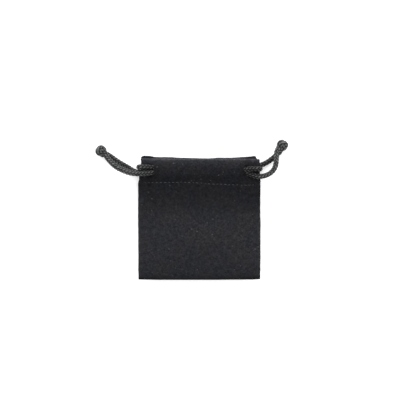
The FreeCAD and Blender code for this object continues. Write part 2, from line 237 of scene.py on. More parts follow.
@dataclass(frozen=True)
class Face:
    """What differs between the two cloths."""
    name: str
    out: int                # sign of the outward direction in z
    crown: list
    crown_power: float      # how squarely the crown falls to the side seams
    top: list
    top_row: int            # noise row of the mouth edge
    left_step: float        # how much less the left edge draws in at the mouth
    right_step: float       # how much the right edge draws in at the mouth
    wrinkle_seed: int
    pleat_phase: float
    wrinkle_size: float
    drape_seed: int
    stitch_row: int         # noise row of the stitch heights
    uv_shift: float


FRONT = Face(
    name="front", out=1, crown=FRONT_CROWN, crown_power=2.4, top=FRONT_TOP, top_row=5,
    left_step=0.25, right_step=0.30, wrinkle_seed=20, pleat_phase=0.0, wrinkle_size=1.0,
    drape_seed=61, stitch_row=7, uv_shift=0.0,
)
BACK = Face(
    name="back", out=-1, crown=BACK_CROWN, crown_power=5, top=BACK_TOP, top_row=15,
    left_step=0.0, right_step=0.45, wrinkle_seed=40, pleat_phase=1.3, wrinkle_size=0.8,
    drape_seed=71, stitch_row=3, uv_shift=BACK_UV_SHIFT,
)


def z_seam(y):
    return Z_SEAM_LOW + (Z_MID - Z_SEAM_LOW) * rise(y, -38, 58.0)


def side_edge(y, side, face):
    """Half width of the cloth at height y on one side (-1 left, 1 right)."""
    if side < 0:
        bulge = 0.10 * bell(y, 8, 12.0)
        waist = 0.55 * rise(y, 22.0, 3.0) + 1.2 * rise(y, 26.2, 3.6) * (1 - rise(y, 34.6, 3.0))
        top = 1.35 * rise(y, 34.2, 3.0) - face.left_step * rise(y, 35, 2)
    else:
        bulge = 0.22 * bell(y, -15, 13.0)
        waist = 0.25 * rise(y, 26.6, 2.8) * (1 - rise(y, 32.4, 2.4))
        top = face.right_step * rise(y, 33, 3)
    ripple = (0.10 * noise1(y, 3 * side, scale=7.0, seed=11)
              + 0.06 * noise1(y, 9 * side, scale=2.6, seed=12))
    return EDGE_X + bulge - waist - top + ripple


def top_line(x, face):
    """Height in y of the folded mouth edge."""
    return (curve(face.top, x) + 0.08 * noise1(x, face.top_row, scale=5.0, seed=13)
            + 0.05 * noise1(x, face.top_row, scale=1.7, seed=16))


def seam_line(x):
    """Height in y of the casing stitch line."""
    return curve(CASING_SEAM, x) + 0.10 * noise1(x, 0, scale=5.0, seed=14)


def settle(points):
    """Bends the bottom seam, which is not quite straight."""
    bent = np.array(points, float)
    bent[..., 1] += curve(BOTTOM_SAG, bent[..., 0]) * (1 - rise(bent[..., 1], Y_BOTTOM, 10.0))
    return bent


def painted_light_tone(x, y, side, face):
    """Painted light and shade on the pile: painted shade at the outer edges and the cord exits,
    painted highlights on the fold and along the stitch line.
    """
    abs_x = np.abs(x)
    inset = side_edge(y, side, face) - abs_x
    tone = curve(PAINTED_LIGHT_BY_Y, y)
    # painted shade on the rolled outer edge, with a faint painted highlight just inside it
    tone = tone * (0.62 + 0.38 * rise(inset, 0.1, 0.8)) * (1 + 0.08 * bell(inset, 1.3, 0.8))
    # painted highlight along the stitch line
    tone = tone * (1 + 0.30 * bell(y - seam_line(x), -0.1, 0.55) * smooth(inset / 1.5))
    if side < 0 and face is FRONT:
        # a pale patch near the left edge
        tone = tone * (1 + 0.34 * bell(x, -35.6, 2.6) * bell(y, 12.5, 4.2))
    # painted shade where the cords leave the slits
    return tone * (1 - 0.35 * bell(abs_x, 28.2, 2.4) * bell(y, 30.4, 3.6))


# ------------------------------------------------------------------ surface of the cloth


def over_cords(abs_x, y, side, part):
    """How far the cloth stands up over the cords: 1 in the casing, 0 beyond the slit."""
    low, high = SLIT[side]
    ease = 1.9
    casing = smooth((32.8 - abs_x) / 8.5)
    in_slit = rise(y, low, ease) * (1 - rise(y, high - ease, ease))
    target = 1.0 if part == "middle" else 0.0
    return casing + (target - casing) * in_slit


def slit_x(y, side, part):
    """Edge of the slit: the cloth is drawn open round the cords."""
    low, high = SLIT[side]
    wide = 1 - np.clip((y - (low + high) / 2) / ((high - low) / 2), -1, 1) ** 2
    if part == "middle":
        slant = 0.20 * (y - 30.4) * wide if side < 0 else 0.0
        return SLIT_X[side] + slant - (0.5 if side < 0 else 1.0) * wide
    return SLIT_X[side] + 0.5 * wide


def wrinkles(x, y, face):
    """Soft undulation: pleats under the casing, slack in the panel, puckers along the seams."""
    abs_x = np.abs(x)
    seed = face.wrinkle_seed
    phase = 0.9 * noise2(x, y, scale=17.0, seed=seed) + face.pleat_phase
    pleat = (np.sin(2 * np.pi * x / 7.4 + 2.2 * phase)
             + 0.45 * np.sin(2 * np.pi * x / 4.3 + 3.1 * phase + 1.0))
    upper = rise(y, -16, 34.0) * (1 - rise(abs_x, 27, 6))
    height = 0.22 * pleat * upper * (0.10 + 0.90 * rise(y, 6, 14))
    from_side, from_bottom = HALF_W - abs_x, y - Y_BOTTOM
    inside = smooth(from_side / 9.0) * smooth(from_bottom / 9.0) * (1 - rise(y, 17, 5))
    height = height + inside * (0.24 * noise2(x, y, scale=19.0, seed=seed + 1)
                                + 0.08 * noise2(x, y, scale=8.0, seed=seed + 2))
    # puckers where the seams draw the cloth in
    along = np.where(from_side < from_bottom, y, x)
    pucker = np.sin(2 * np.pi * along / 5.2 + 2.5 * noise1(along, 0, scale=9.0, seed=seed + 3))
    height = height + 0.07 * pucker * bell(np.minimum(from_side, from_bottom), 2.4, 2.2)
    return height + 0.05 * noise2(x, y, scale=3.2, seed=seed + 4)


def rounding(inset):
    """Share of the edge's quarter-round drop at a distance from the edge."""
    radius = 1.75
    t = np.clip(inset / radius, 0, 1)
    return 1 - np.sqrt(np.clip(1 - (1 - t) ** 2, 0, 1))


def stitch_bed(x, y):
    """Groove along the casing stitches, with a soft roll on both sides."""
    off = y - seam_line(x)
    roll = bell(off, 1.3, 0.8) + 0.7 * bell(off, -1.3, 0.8)
    tug = 0.10 * np.cos(2 * np.pi * x / STITCH_PITCH) * bell(off, 0, 1.1)
    return -0.50 * bell(off, 0, 0.42) + 0.10 * roll + tug


def plain_z(x, y, side, face):
    """Outer face of a panel before its slack is draped."""
    share = np.clip(np.abs(x) / side_edge(y, side, face), 0, 1)
    edge = z_seam(y) + face.out * SEAM_RISE
    return edge + (curve(face.crown, y) - edge) * (1 - share**face.crown_power)


def cloth_z(x, y, side, face, part):
    """Outer face of the finished cloth; part is 'middle' or 'end', inside or beyond the slit."""
    abs_x = np.abs(x)
    edge_x = side_edge(y, side, face)
    share = np.clip(abs_x / edge_x, 0, 1)
    body = plain_z(x, y, side, face) + face.out * slack(x, y, face)
    tab = z_seam(y) + face.out * (SEAM_RISE + 0.1 * (1 - share**2))
    casing = Z_MID + face.out * (curve(CASING, y) - Z_MID)
    casing = tab + (casing - tab) * over_cords(abs_x, y, side, part)
    upper = rise(y, 19.2, 3.2)
    z = body * (1 - upper) + casing * upper
    # the hem inside lifts the cloth below the stitches
    lift = rise(y, 14.7, 1.0) * (1 - rise(y, 20.5, 3.0))
    if face is FRONT:
        z = z + 0.30 * lift * (1 - rise(abs_x, 33, 4))
    else:
        z = z - 0.25 * lift
    z = z + face.wrinkle_size * wrinkles(x, y, face) + face.out * stitch_bed(x, y)
    z = z - face.out * 1.66 * rounding(np.minimum(edge_x - abs_x, y - Y_BOTTOM))
    if face is FRONT:
        return z
    # the back rests on the table: heights under this one are eased towards 0
    rest = 0.5
    return np.where(z > rest, z, rest * np.exp((np.minimum(z, rest) - rest) / rest))


# ------------------------------------------------------------------ simulated slack in the panels
DRAPE_SCALE = 20.0      # the sheets are simulated twenty times life size, where the solver is steady
DRAPE_EDGE = 37.4       # the sheet ends here at both sides and at the bottom
DRAPE_TOP = 21.4
DRAPE_FRAMES = 24
DRAPE_X = np.linspace(-DRAPE_EDGE, DRAPE_EDGE, 86)
DRAPE_Y = np.linspace(-DRAPE_EDGE, DRAPE_TOP, 68)
CLOTH_SETTINGS = {
    "quality": 5,
    "mass": 0.25,
    "tension_stiffness": 30,
    "compression_stiffness": 30,
    "shear_stiffness": 8,
    "bending_stiffness": 0.6,
    "tension_damping": 12,
    "compression_damping": 12,
    "shear_damping": 12,
    "bending_damping": 1.0,
    "air_damping": 3.0,
    "vertex_group_mass": "pin",
    "pin_stiffness": 1.0,
    "shrink_min": -0.028,           # the sheet is a little too large for its seams
    "use_pressure": True,
    "uniform_pressure_force": 0.35,
}


def simulate(verts, quads, pinned):
    """Runs the cloth solver on a sheet and returns its vertices at the last frame."""
    mesh = bpy.data.meshes.new("drape_proxy")
    mesh.from_pydata(verts.tolist(), [], quads.tolist())
    mesh.update()
    ob = bpy.data.objects.new("drape_proxy", mesh)
    scene = bpy.context.scene
    scene.collection.objects.link(ob)
    ob.vertex_groups.new(name="pin").add([int(i) for i in pinned], 1.0, "REPLACE")
    cloth = ob.modifiers.new("Cloth", "CLOTH")
    for name, value in CLOTH_SETTINGS.items():
        setattr(cloth.settings, name, value)
    cloth.settings.effector_weights.gravity = 0.0
    cloth.collision_settings.use_collision = False
    cloth.collision_settings.use_self_collision = False
    cloth.point_cache.frame_start = 1
    cloth.point_cache.frame_end = DRAPE_FRAMES
    for frame in range(1, DRAPE_FRAMES + 1):
        scene.frame_set(frame)
    draped = ob.evaluated_get(bpy.context.evaluated_depsgraph_get())
    result = np.zeros(len(verts) * 3)
    draped.data.vertices.foreach_get("co", result)
    scene.frame_set(1)
    bpy.data.objects.remove(ob)
    bpy.data.meshes.remove(mesh)
    return result.reshape(-1, 3)


def keep_folds(bulge):
    """Takes away the broad crown and leaves the folds, lightly smoothed."""
    n = 12      # standard deviation of the broad blur, in grid steps
    kernel = np.exp(-0.5 * (np.arange(-2 * n, 2 * n + 1) / n) ** 2)
    kernel /= kernel.sum()
    broad = np.pad(bulge, 2 * n, mode="reflect", reflect_type="odd")
    for axis in (0, 1):
        broad = np.apply_along_axis(lambda line: np.convolve(line, kernel, "valid"), axis, broad)
    soft = np.clip(0.62 * (bulge - broad), -1.3, 1.1)
    for _ in range(2):
        soft[1:-1, 1:-1] = 0.4 * soft[1:-1, 1:-1] + 0.15 * (
            soft[:-2, 1:-1] + soft[2:, 1:-1] + soft[1:-1, :-2] + soft[1:-1, 2:]
        )
    return soft


def drape(face):
    """Fold heights of one panel on DRAPE_X x DRAPE_Y.

    The sheet is held along its side and bottom seams and the casing seam, blown out lightly and
    left to find where its spare cloth goes.
    """
    grid_x, grid_y = np.meshgrid(DRAPE_X, DRAPE_Y, indexing="ij")
    base = np.zeros_like(grid_x)
    for side in (-1, 1):
        half = (grid_x < 0) == (side < 0)
        base[half] = plain_z(grid_x[half], grid_y[half], side, face)
    start_z = base + 0.10 * noise2(grid_x, grid_y, scale=6.0, seed=face.drape_seed)
    verts = np.stack([grid_x, grid_y, start_z], -1).reshape(-1, 3) * MM * DRAPE_SCALE
    ids = np.arange(base.size).reshape(base.shape)
    quads = grid_quads(ids)
    if face is BACK:
        quads = quads[:, ::-1]
    pinned = np.concatenate([ids[0], ids[-1], ids[1:-1, 0], ids[1:-1, -1]])
    draped = simulate(verts, quads, pinned) / (MM * DRAPE_SCALE)
    folds = keep_folds((draped[:, 2].reshape(base.shape) - base) * face.out)
    rim = np.minimum(np.minimum(DRAPE_EDGE - np.abs(grid_x), grid_y + DRAPE_EDGE),
                     DRAPE_TOP - grid_y)
    return folds * smooth(rim / 2.5)


def cubic_weights(f):
    """Catmull-Rom weights of the four grid values round a fraction f."""
    return (
        ((-f + 2) * f - 1) * f / 2, ((3 * f - 5) * f * f + 2) / 2,
        ((-3 * f + 4) * f + 1) * f / 2, (f - 1) * f * f / 2,
    )


def slack(x, y, face):
    """Fold height at any point, by cubic interpolation of the simulated grid."""
    grid = SLACK[face.name]
    nx, ny = grid.shape
    px = np.clip((x - DRAPE_X[0]) / (DRAPE_X[1] - DRAPE_X[0]), 0, nx - 1.001)
    py = np.clip((y - DRAPE_Y[0]) / (DRAPE_Y[1] - DRAPE_Y[0]), 0, ny - 1.001)
    ix, iy = np.floor(px).astype(int), np.floor(py).astype(int)
    height = 0.0
    for i, weight_x in enumerate(cubic_weights(px - ix)):
        for j, weight_y in enumerate(cubic_weights(py - iy)):
            near = grid[np.clip(ix + i - 1, 0, nx - 1), np.clip(iy + j - 1, 0, ny - 1)]
            height = height + weight_x * weight_y * near
    return height


SLACK = {face.name: drape(face) for face in (FRONT, BACK)}

# ------------------------------------------------------------------ mesh of the cloth
MIDDLE_COLUMNS = 58
# columns beyond the slit, as shares of the way to the side edge
END_SHARES = np.concatenate([
    np.linspace(0, 0.755, 17), [0.80, 0.845, 0.885, 0.92, 0.945, 0.965, 0.98, 0.991, 1.0],
])
FOLD_Y = 36.4       # nominal y where the rows meet the folded mouth edge
STRETCH_Y = 35.0    # rows above this are stretched to meet the real fold
OUTER_ROWS = np.concatenate([
    Y_BOTTOM + np.array([0, 0.06, 0.16, 0.32, 0.55, 0.85, 1.25, 1.7]),
    np.linspace(Y_BOTTOM + 2.2, STRETCH_Y, 136), np.linspace(35.4, FOLD_Y, 3),
])
FOLD_ANGLES = np.pi / 2 - np.pi * np.linspace(0, 1, 10)[1:-1]
INNER_ROWS = np.concatenate([np.linspace(FOLD_Y, 24.0, 17), np.linspace(23.2, 15.3, 9)])
HEM_INSET = 0.25    # the inner ply stops this far inside the outer one
# painted shade on the inner ply of the hem, inside the casing
HEM_PAINTED_SHADE = 0.85


def to_fold(rows, fold_base):
    """Stretches the rows near the mouth so that FOLD_Y lands on fold_base."""
    stretch = (rows - STRETCH_Y) * (fold_base - STRETCH_Y) / (FOLD_Y - STRETCH_Y)
    return np.where(rows < STRETCH_Y, rows, STRETCH_Y + stretch)


def cloth_column(side, face, part, station):
    """One column of the cloth, from the bottom over the folded edge to the raw edge of the hem.

    station is x in the middle part, and the share of the way to the side edge in the end part.
    Returns the right side, the wrong side, and rows of (u, v, tone).
    """
    out = face.out

    def x_at(y, inset=0.0):
        inner_x = slit_x(y, side, part)
        if part == "middle":
            slit = SLIT_X[side]
            return station + (inner_x - slit) * rise(station, slit - 6.0, 6.0)
        return inner_x + (side_edge(y, side, face) - inset - inner_x) * station

    def inner_z(abs_x, y):
        edge_x = side_edge(y, side, face)
        share = np.clip(abs_x / edge_x, 0, 1)
        z = Z_MID + out * (curve(HEM_GAP, y) * (1 - share**4) + 0.10)
        outer_z = cloth_z(side * abs_x, y, side, face, part)
        limit = outer_z - out * (2 * PLY + 0.12 * smooth((edge_x - abs_x) / 2))
        upper = rise(y, 20.0, 3.0)
        z = z * upper + (outer_z - out * 1.5) * (1 - upper)
        return np.where(out * z > out * limit, limit, z)

    # where the folded edge lies, and how round it is
    at_fold = np.array([FOLD_Y])
    fold_x = x_at(at_fold)
    fold_top = float(top_line(side * fold_x, face)[0])
    corner = 1.1    # the edge drops away this close to the side
    corner_x = float(side_edge(np.array([37.0]), side, face)[0]) - corner
    fold_top -= 0.5 * max(0.0, (fold_x[0] - corner_x) / corner) ** 2.5
    fold_outer_z = cloth_z(side * fold_x, at_fold, side, face, part)[0]
    fold_inner_z = inner_z(x_at(at_fold, HEM_INSET), at_fold)[0]
    fold_r = max(abs(fold_outer_z - fold_inner_z) / 2, 0.12)
    fold_base = fold_top - fold_r

    # outer ply, thinning to its edges
    y = to_fold(OUTER_ROWS, fold_base)
    x = x_at(y)
    z = cloth_z(side * x, np.minimum(y, FOLD_Y), side, face, part)
    inset = np.minimum(side_edge(y, side, face) - x, y - Y_BOTTOM)
    thick = 0.06 + (PLY - 0.06) * smooth(inset / 1.6)
    tuck = 0.4 * (PLY - thick)
    right = [np.stack([side * x, y, z], 1)]
    wrong = [np.stack([side * (x - tuck), y + tuck * (y < -30), z - out * thick], 1)]

    # folded mouth edge
    fold_mid_z = (z[-1] + fold_inner_z) / 2
    fold_rz = abs(z[-1] - fold_inner_z) / 2
    fold_thick = min(thick[-1], 0.8 * min(fold_rz, fold_r))
    for layer, thin in ((right, 0.0), (wrong, fold_thick)):
        layer.append(np.stack([
            np.full(len(FOLD_ANGLES), side * x[-1]),
            fold_base + (fold_r - thin) * np.cos(FOLD_ANGLES),
            fold_mid_z + out * (fold_rz - thin) * np.sin(FOLD_ANGLES),
        ], 1))

    # inner ply
    y = to_fold(INNER_ROWS, fold_base)
    x = x_at(y, HEM_INSET)
    z = inner_z(x, np.minimum(y, FOLD_Y))
    right.append(np.stack([side * x, y, z], 1))
    wrong.append(np.stack([side * x, y, z + out * thick[-1]], 1))

    right = np.vstack(right)
    steps = np.sqrt((np.diff(right[:, 1:], axis=0) ** 2).sum(1))
    arc = np.concatenate([[0], np.cumsum(steps)])
    # painted light and shade for each row; the inner ply gets a flat painted shade
    tone = painted_light_tone(right[:, 0], right[:, 1], side, face)
    tone[-len(INNER_ROWS):] = HEM_PAINTED_SHADE
    uv_tone = np.stack([(right[:, 0] + face.uv_shift) / UV_MM, (Y_BOTTOM + arc) / UV_MM, tone], 1)
    return right, np.vstack(wrong), uv_tone


def cloth_half(side, face):
    """Half of one cloth, split by the slit into a middle and an end part."""
    columns = [cloth_column(side, face, "middle", x)
               for x in np.linspace(0, SLIT_X[side], MIDDLE_COLUMNS)]
    columns += [cloth_column(side, face, "end", share) for share in END_SHARES]
    right, wrong, uv_tone = (np.concatenate(layers) for layers in zip(*columns))
    ids = np.arange(len(right)).reshape(len(columns), -1)
    middle, end = ids[:MIDDLE_COLUMNS], ids[MIDDLE_COLUMNS:].copy()
    # above and below the slit the two parts share their column
    low, high = SLIT[side]
    cut = np.zeros(ids.shape[1], bool)
    cut[:len(OUTER_ROWS)] = (OUTER_ROWS > low + 0.05) & (OUTER_ROWS < high - 0.05)
    end[0, ~cut] = middle[-1, ~cut]
    quads = np.concatenate([grid_quads(middle), grid_quads(end)])
    if side * face.out < 0:
        quads = quads[:, ::-1]
    # drop the unused copies of the shared column
    keep = np.zeros(len(right), bool)
    keep[np.unique(quads)] = True
    faces = (np.cumsum(keep) - 1)[quads].tolist()
    return shell(settle(right[keep]), settle(wrong[keep]), faces, uv_tone[keep])


def blend_with_mouth(ob):
    """Bakes the piece's placement into its mesh."""
    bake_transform(ob)


# ------------------------------------------------------------------ materials
STRANDS = 6             # yarns round the cord in each direction
STITCH_UV = 5           # each stitch starts this much further along v


class Net:
    """Adds and links shader nodes. A value may be a number, a tuple or another node's socket."""

    def __init__(self, tree):
        self.tree = tree

    def feed(self, node, inputs):
        for key, value in inputs.items():
            if isinstance(value, bpy.types.NodeSocket):
                self.tree.links.new(value, node.inputs[key])
            else:
                node.inputs[key].default_value = value

    def node(self, kind, inputs={}, **properties):
        node = self.tree.nodes.new(kind)
        for name, value in properties.items():
            setattr(node, name, value)
        self.feed(node, inputs)
        return node

    def math(self, operation, *values):
        return self.node("ShaderNodeMath", dict(enumerate(values)), operation=operation).outputs[0]

    def product(self, first, *others):
        for factor in others:
            first = self.math("MULTIPLY", first, factor)
        return first

    def pick(self, choice, one, zero):
        """One value where choice is 1, the other where it is 0."""
        chosen = self.math("MULTIPLY", choice, one)
        other = self.math("MULTIPLY", self.math("SUBTRACT", 1.0, choice), zero)
        return self.math("ADD", chosen, other)

    def mix(self, share, first, second, blend="MIX"):
        return self.node("ShaderNodeMix", {0: share, 6: first, 7: second},
                         data_type="RGBA", blend_type=blend).outputs[2]

    def tint(self, color, brightness):
        """Multiplies a colour by a brightness."""
        grey = self.node("ShaderNodeCombineXYZ", {i: brightness for i in range(3)})
        return self.mix(1.0, color, grey.outputs[0], "MULTIPLY")

    def noise(self, vector, scale, detail=2.0, rough=0.5, output=0):
        inputs = {"Scale": scale, "Detail": detail, "Roughness": rough, "Vector": vector}
        return self.node("ShaderNodeTexNoise", inputs).outputs[output]

    def remap(self, value, span, to):
        """Maps the span onto another, clamped at its ends."""
        inputs = dict(enumerate((value, *span, *to)))
        return self.node("ShaderNodeMapRange", inputs).outputs[0]

    def tone(self):
        """The mesh's painted brightness, mostly painted light and shade."""
        return self.node("ShaderNodeAttribute", attribute_name="tone").outputs["Fac"]

    def bump(self, height, strength, distance):
        inputs = {"Strength": strength, "Distance": distance, "Height": height}
        return self.node("ShaderNodeBump", inputs).outputs[0]

    def cells(self, vector, scale):
        """Voronoi cells: distance to the centre, and three random values for each cell."""
        cell = self.node("ShaderNodeTexVoronoi", {"Scale": scale, "Vector": vector}, feature="F1")
        parts = self.node("ShaderNodeSeparateColor", {0: cell.outputs["Color"]})
        return cell.outputs["Distance"], *parts.outputs[:3]

    def uv_parts(self):
        uv = self.node("ShaderNodeUVMap")
        return self.node("ShaderNodeSeparateXYZ", {0: uv.outputs[0]}).outputs[:2]

    def random(self, value):
        return self.node("ShaderNodeTexWhiteNoise", {"W": value},
                         noise_dimensions="1D").outputs[0]


def new_material(name):
    """Empty node material with an output and a principled shader."""
    material = bpy.data.materials.new(name)
    material.use_nodes = True
    material.node_tree.nodes.clear()
    net = Net(material.node_tree)
    output = net.node("ShaderNodeOutputMaterial")
    shader = net.node("ShaderNodeBsdfPrincipled")
    net.feed(output, {0: shader.outputs[0]})
    return material, net, shader


def velvet():
    material, net, shader = new_material("velvet_black")
    uv = net.node("ShaderNodeUVMap").outputs[0]
    # scaled to millimetres on the cloth
    cloth = net.node("ShaderNodeMapping", {0: uv, "Scale": (UV_MM,) * 3}).outputs[0]
    broad = net.noise(cloth, scale=0.055, detail=3.0, rough=0.55)
    patch = net.noise(cloth, scale=0.42, detail=3.0, rough=0.6)
    pile = net.noise(cloth, scale=2.6, detail=4.0, rough=0.7)
    fine = net.noise(cloth, scale=7.0, detail=2.0, rough=0.6)
    medium = net.noise(cloth, scale=0.80, detail=3.0, rough=0.75)
    clump = net.noise(cloth, scale=0.34, detail=3.0, rough=0.65)
    color = net.mix(net.remap(broad, span=(0.35, 0.65), to=(0.0, 1.0)),
                    (0.0125, 0.0135, 0.0170, 1.0), (0.0172, 0.0168, 0.0188, 1.0))
    color = net.mix(net.remap(patch, span=(0.38, 0.62), to=(0.0, 0.55)),
                    color, (0.0198, 0.0199, 0.0226, 1.0))
    # The noise grain is the pile's own; the tone attribute adds painted light and shade. Reflection
    # and sheen below follow the same brightness.
    brightness = net.product(
        net.remap(pile, span=(0.30, 0.70), to=(0.60, 1.40)),
        net.remap(medium, span=(0.32, 0.68), to=(0.60, 1.40)),
        net.remap(clump, span=(0.32, 0.68), to=(0.80, 1.20)),
        net.tone(),
    )
    color = net.tint(color, brightness)

    # lint caught in the pile: cells bent out of round, of random size and strength
    bend = net.noise(cloth, scale=1.7, detail=2.0, output="Color")
    bend_reach = (1.1, 1.1, 0.0)
    bent = net.node("ShaderNodeVectorMath", {0: bend, 1: bend_reach, 2: cloth},
                    operation="MULTIPLY_ADD").outputs[0]
    distance, chance, girth, strength = net.cells(bent, scale=0.52)
    size_range, size_least = 0.19, 0.05
    size = net.math("MULTIPLY_ADD", girth, size_range, size_least)
    ragged = 0.16           # roughness of the outlines
    wobble = net.math("MULTIPLY", net.math("SUBTRACT", fine, 0.5), ragged)
    depth = net.math("SUBTRACT", size, net.math("ADD", distance, wobble))
    near = net.remap(depth, span=(-0.02, 0.05), to=(0.0, 1.0))
    clustering = 1.1        # how strongly the lint keeps to the broad patches
    drift = net.math("MULTIPLY", net.math("SUBTRACT", broad, 0.5), clustering)
    present = net.math("GREATER_THAN", net.math("ADD", chance, drift), 0.50)
    lint = net.math("MULTIPLY", near, present)
    lint = net.math("MULTIPLY", lint, net.remap(strength, span=(0.0, 1.0), to=(0.15, 0.85)))
    color = net.mix(lint, color, (0.058, 0.058, 0.061, 1.0))

    # small dark flecks where the pile parts, in half of the cells
    distance, chance, _, _ = net.cells(cloth, scale=0.71)
    fleck_radius, fleck_strength = 0.22, 0.55
    fleck = net.math("MULTIPLY",
                     net.math("LESS_THAN", net.math("ADD", distance, wobble), fleck_radius),
                     net.math("GREATER_THAN", chance, 0.5))
    color = net.mix(net.math("MULTIPLY", fleck, fleck_strength),
                    color, (0.004, 0.004, 0.006, 1.0))

    pile_share, fine_share = 0.6, 0.4
    height = net.math("ADD", net.math("MULTIPLY", pile, pile_share),
                      net.math("MULTIPLY", fine, fine_share))
    net.feed(shader, {
        "Base Color": color,
        "Roughness": 0.93,
        "Specular IOR Level": net.math("MULTIPLY", brightness, 0.07),
        "Sheen Weight": net.math("MULTIPLY", brightness, 0.10),
        "Sheen Roughness": 0.33,
        "Sheen Tint": (0.75, 0.77, 0.82, 1),
        "Normal": net.bump(height, strength=0.55, distance=0.00022),
    })
    return material


def cord_material():
    """Braided cord: the weave is read from the same pattern that shapes the mesh."""
    material, net, shader = new_material("cord_braid")
    u, v = net.uv_parts()
    turn = net.math("MULTIPLY", u, float(STRANDS))
    length = net.math("MULTIPLY", v, UV_MM)
    diagonal_1, diagonal_2 = net.math("ADD", turn, length), net.math("SUBTRACT", turn, length)
    part_1, part_2 = net.math("FRACT", diagonal_1), net.math("FRACT", diagonal_2)
    yarn_1, yarn_2 = net.math("FLOOR", diagonal_1), net.math("FLOOR", diagonal_2)
    # two over two under: the first family of yarns is on top in two cells of four
    cell = net.math("FLOORED_MODULO", net.math("ADD", yarn_1, yarn_2), 4.0)
    first = net.math("LESS_THAN", cell, 1.5)
    across = net.pick(first, part_1, part_2)
    family_offset = 57.0    # gives the second family other random tones
    yarn = net.pick(first, yarn_1, net.math("ADD", yarn_2, family_offset))
    yarn_tone = net.remap(net.random(yarn), span=(0.0, 1.0), to=(0.70, 1.30))
    fibres = 5.0            # fibres across one yarn
    fibre = net.math("SINE", net.math("MULTIPLY", across, 2 * math.pi * fibres))
    place = net.node("ShaderNodeTexCoord").outputs["Object"]
    fuzz = net.noise(place, scale=2600.0, detail=2.0, rough=0.6)
    dirt = net.noise(place, scale=160.0, detail=2.0, rough=0.5)
    off_middle = net.math("ABSOLUTE", net.math("SUBTRACT", across, 0.5))
    # each yarn shows as a short float between the places where it dives under the others
    float_1 = net.math("MULTIPLY", net.math("ADD", cell, part_2), 0.5)
    float_2 = net.math("MULTIPLY", net.math("ADD", net.math("SUBTRACT", cell, 2.0), part_1), 0.5)
    along = net.pick(first, float_1, float_2)
    arch = net.math("SINE", net.math("MULTIPLY", along, math.pi))
    # Painted shade at the edges of each yarn, in the gaps between yarns and where each float dives
    # under, and a painted highlight on the top of each float; the yarn tones are the cord's own.
    # Reflection and sheen follow the same brightness.
    brightness = net.product(
        yarn_tone,
        net.remap(off_middle, span=(0.14, 0.5), to=(1.0, 0.06)),
        net.remap(arch, span=(0.05, 0.95), to=(0.14, 1.45)),
        net.tone(),
        net.remap(fibre, span=(-1.0, 1.0), to=(0.86, 1.14)),
        net.remap(fuzz, span=(0.3, 0.7), to=(0.75, 1.25)),
        net.remap(dirt, span=(0.35, 0.65), to=(0.90, 1.10)),
    )
    fibre_share, fuzz_share = 0.35, 0.8
    height = net.math("ADD", net.math("MULTIPLY", fibre, fibre_share),
                      net.math("MULTIPLY", fuzz, fuzz_share))
    net.feed(shader, {
        "Base Color": net.tint((0.0455, 0.0465, 0.0480, 1.0), brightness),
        "Roughness": 0.42,
        "Specular IOR Level": net.math("MULTIPLY", brightness, 0.42),
        "Sheen Weight": net.math("MULTIPLY", brightness, 0.06),
        "Sheen Roughness": 0.4,
        "Normal": net.bump(height, strength=0.6, distance=0.00008),
    })
    return material


def thread_material():
    """Twisted thread with a random tone for each stitch."""
    material, net, shader = new_material("thread_dark")
    u, v = net.uv_parts()
    plies = 2.0
    twist = net.math("ADD", net.math("MULTIPLY", u, plies), v)
    ply = net.math("SINE", net.math("MULTIPLY", twist, 2 * math.pi))
    stitch = net.math("FLOOR", net.math("MULTIPLY", v, 1 / STITCH_UV))
    brightness = net.product(
        net.remap(ply, span=(-1.0, 1.0), to=(0.7, 1.2)),
        net.remap(net.random(stitch), span=(0.0, 1.0), to=(0.75, 1.3)),
    )
    net.feed(shader, {
        "Base Color": net.tint((0.027, 0.028, 0.031, 1.0), brightness),
        "Roughness": 0.55,
        "Specular IOR Level": 0.4,
        "Normal": net.bump(ply, strength=0.6, distance=0.00005),
    })
    return material


VELVET = velvet()
CORD = cord_material()
THREAD = thread_material()

# ------------------------------------------------------------------ stitches and seam threads
STITCH_PITCH = 2.5
STITCH_LENGTH = 2.2
STITCH_R = 0.20
STITCH_COUNT = int((HALF_W - 1.8) / STITCH_PITCH + 0.5)     # none within 1.8 of the side
SEAM_THREAD_R = 0.22
AROUND = 8              # points round a thread


def tube_faces(first, rings, flipped=False):
    """Sides and end caps of a tube whose rings start at vertex first."""
    faces = []
    for i in range(rings - 1):
        for j in range(AROUND):
            a = first + i * AROUND + j
            b = first + i * AROUND + (j + 1) % AROUND
            quad = (a, b, b + AROUND, a + AROUND)
            faces.append((a, a + AROUND, b + AROUND, b) if flipped else quad)
    start = tuple(range(first, first + AROUND))
    last = first + (rings - 1) * AROUND
    end = tuple(range(last, last + AROUND))
    return faces + ([start, end[::-1]] if flipped else [start[::-1], end])


def stitch_mesh(stitches):
    """Small bent pieces of thread that dip into the cloth at both ends.

    stitches: (x, y, z, outward sign, slope in plan).
    """
    rings = 9
    verts, faces, uv = [], [], []
    for k, (x, y, z, out, slope) in enumerate(stitches):
        faces += tube_faces(len(verts), rings, flipped=True)
        for i in range(rings):
            t = i / (rings - 1)
            q = 2 * t - 1
            radius = STITCH_R * math.sqrt(max(1 - abs(q) ** 5, 0.0)) + 0.01
            for j in range(AROUND):
                angle = 2 * math.pi * j / AROUND
                verts.append((
                    x + q * STITCH_LENGTH / 2,
                    y + slope * q * STITCH_LENGTH / 2 + radius * math.cos(angle),
                    z + out * (0.10 - 0.34 * q * q) + 0.8 * radius * math.sin(angle),
                ))
                uv.append((j / AROUND, t * 2.4 + STITCH_UV * k))
    return verts, faces, uv


